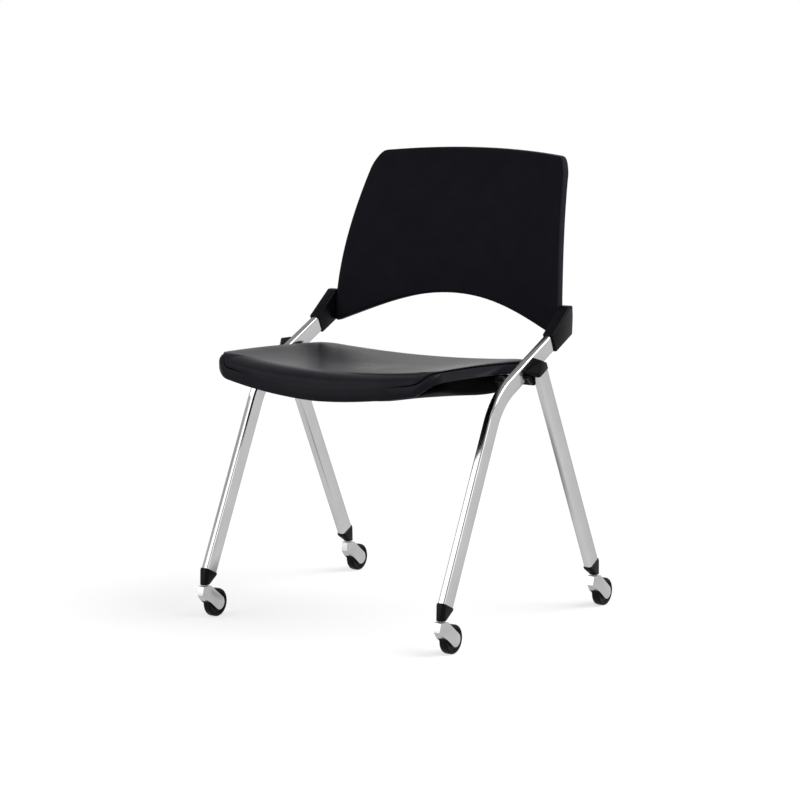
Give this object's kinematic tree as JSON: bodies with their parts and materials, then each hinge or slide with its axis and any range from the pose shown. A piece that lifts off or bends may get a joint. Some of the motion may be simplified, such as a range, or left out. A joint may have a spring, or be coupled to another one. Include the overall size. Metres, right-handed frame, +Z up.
{
  "type": "nesting chair on casters",
  "caption": "Nesting side chair with a tip-up moulded seat, bent tube side frames, a moulded back and casters.",
  "frame": {"origin": "floor under the middle of the chair's bounding box", "axes": "+Z up, the sitter faces -Y, +X is the right-hand side seen from the front"},
  "size_m": [0.563, 0.5303, 0.8129],
  "materials": {
    "bright_tube": "satin bright metal with soft reflections",
    "silver_hood": "satin bright metal",
    "zinc_steel": "zinc-plated steel",
    "black_steel": "black powder coat",
    "black_plastic": "fine-grained black moulding",
    "back_plastic": "fine-grained black moulding",
    "seat_plastic": "smooth black moulding with a soft sheen",
    "nylon": "black nylon",
    "wheel_nylon": "black nylon wheel",
    "rubber": "matt black rubber"
  },
  "bodies": {
    "frame": {"front_tube_left": "bright_tube", "front_tube_right": "bright_tube", "rear_leg_left": "bright_tube", "rear_leg_right": "bright_tube", "joint_lug_left": "black_steel", "joint_lug_right": "black_steel", "rear_leg_cap_left": "black_plastic", "rear_leg_cap_right": "black_plastic", "seat_rest_peg_left": "zinc_steel", "seat_rest_peg_right": "zinc_steel", "seat_rest_buffer_left": "rubber", "seat_rest_buffer_right": "rubber", "back_connector_left": "black_plastic", "back_connector_right": "black_plastic", "front_caster_socket_left": "black_plastic", "front_caster_socket_right": "black_plastic", "rear_caster_socket_left": "black_plastic", "rear_caster_socket_right": "black_plastic", "cross_bar": "black_steel", "back_shell": "back_plastic"},
    "seat": {"seat_shell": "seat_plastic", "seat_tray": "black_plastic", "seat_hinge_bracket_left": "black_steel", "seat_hinge_bracket_right": "black_steel", "seat_hinge_bush_left": "nylon", "seat_hinge_bush_right": "nylon"},
    "front_left_caster": {"front_caster_hood_left": "silver_hood", "front_caster_stem_left": "zinc_steel", "front_caster_axle_left": "zinc_steel"},
    "front_left_wheel": {"front_caster_wheel_left": "wheel_nylon"},
    "front_right_caster": {"front_caster_hood_right": "silver_hood", "front_caster_stem_right": "zinc_steel", "front_caster_axle_right": "zinc_steel"},
    "front_right_wheel": {"front_caster_wheel_right": "wheel_nylon"},
    "rear_left_caster": {"rear_caster_hood_left": "silver_hood", "rear_caster_stem_left": "zinc_steel", "rear_caster_axle_left": "zinc_steel"},
    "rear_left_wheel": {"rear_caster_wheel_left": "wheel_nylon"},
    "rear_right_caster": {"rear_caster_hood_right": "silver_hood", "rear_caster_stem_right": "zinc_steel", "rear_caster_axle_right": "zinc_steel"},
    "rear_right_wheel": {"rear_caster_wheel_right": "wheel_nylon"}
  },
  "joints": [
    {"name": "seat_tip", "type": "hinge", "parent": "frame", "child": "seat", "pos_m": [0, 0.01535, 0.43135], "axis": [-1, 0, 0], "range_deg": [0, 75]},
    {"name": "front_left_swivel", "type": "hinge", "parent": "frame", "child": "front_left_caster", "pos_m": [-0.249, -0.25, 0.06], "axis": [0, 0, 1], "continuous": true},
    {"name": "front_left_roll", "type": "hinge", "parent": "front_left_caster", "child": "front_left_wheel", "pos_m": [-0.249, -0.2217, 0.025], "axis": [1, 0, 0], "continuous": true},
    {"name": "front_right_swivel", "type": "hinge", "parent": "frame", "child": "front_right_caster", "pos_m": [0.249, -0.25, 0.06], "axis": [0, 0, 1], "continuous": true},
    {"name": "front_right_roll", "type": "hinge", "parent": "front_right_caster", "child": "front_right_wheel", "pos_m": [0.249, -0.2217, 0.025], "axis": [1, 0, 0], "continuous": true},
    {"name": "rear_left_swivel", "type": "hinge", "parent": "frame", "child": "rear_left_caster", "pos_m": [-0.27, 0.212, 0.06], "axis": [0, 0, 1], "continuous": true},
    {"name": "rear_left_roll", "type": "hinge", "parent": "rear_left_caster", "child": "rear_left_wheel", "pos_m": [-0.27, 0.2403, 0.025], "axis": [1, 0, 0], "continuous": true},
    {"name": "rear_right_swivel", "type": "hinge", "parent": "frame", "child": "rear_right_caster", "pos_m": [0.27, 0.212, 0.06], "axis": [0, 0, 1], "continuous": true},
    {"name": "rear_right_roll", "type": "hinge", "parent": "rear_right_caster", "child": "rear_right_wheel", "pos_m": [0.27, 0.2403, 0.025], "axis": [1, 0, 0], "continuous": true}
  ]
}
